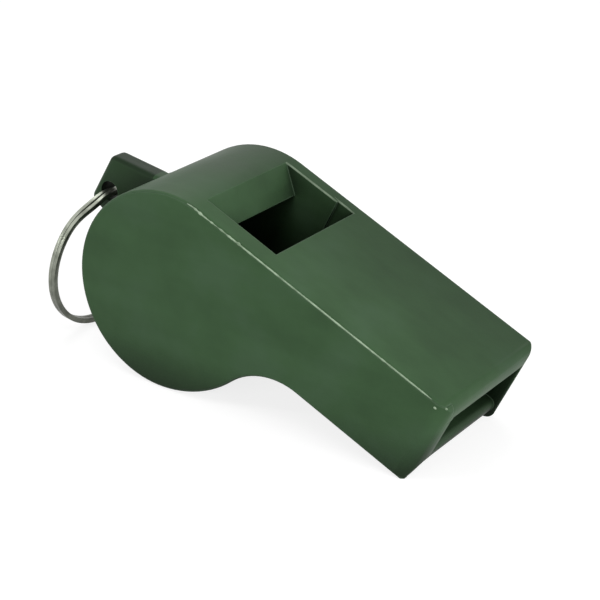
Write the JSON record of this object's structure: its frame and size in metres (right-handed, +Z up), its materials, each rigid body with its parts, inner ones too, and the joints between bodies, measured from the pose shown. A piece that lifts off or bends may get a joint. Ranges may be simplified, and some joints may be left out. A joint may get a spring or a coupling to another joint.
{
  "type": "pea whistle",
  "caption": "Moulded pea whistle with a round barrel, a flat-topped mouthpiece, a sound window, a loose pea in the chamber and a split ring through its lug.",
  "frame": {"origin": "on the table under the middle of the whistle as it lies at rest on its barrel and on the lip of its mouthpiece: the middle of the bounding box in X and Y, and z = 0 at the table", "axes": "+X towards the mouthpiece along the whole length; +Y along the barrel's axis, away from the welded side cover; +Z up"},
  "size_m": [0.0503, 0.0189, 0.022],
  "materials": {
    "shell_plastic": "satin, moulded",
    "cover_plastic": "satin, moulded",
    "cork": "pressed cork, matt",
    "ring_steel": "nickel-plated steel, dulled"
  },
  "bodies": {
    "shell": {"body_shell": "shell_plastic", "side_cover": "cover_plastic"},
    "pea": {"pea": "cork"},
    "ring": {"split_ring": "ring_steel"}
  },
  "joints": [
    {"name": "pea_orbit", "type": "hinge", "parent": "shell", "child": "pea", "pos_m": [-0.00901, 0, 0.011], "axis": [0, 1, 0], "continuous": true},
    {"name": "ring_swing", "type": "hinge", "parent": "shell", "child": "ring", "pos_m": [-0.02283, 0, 0.01603], "axis": [0, 1, 0], "range_deg": [-19, 226]}
  ]
}
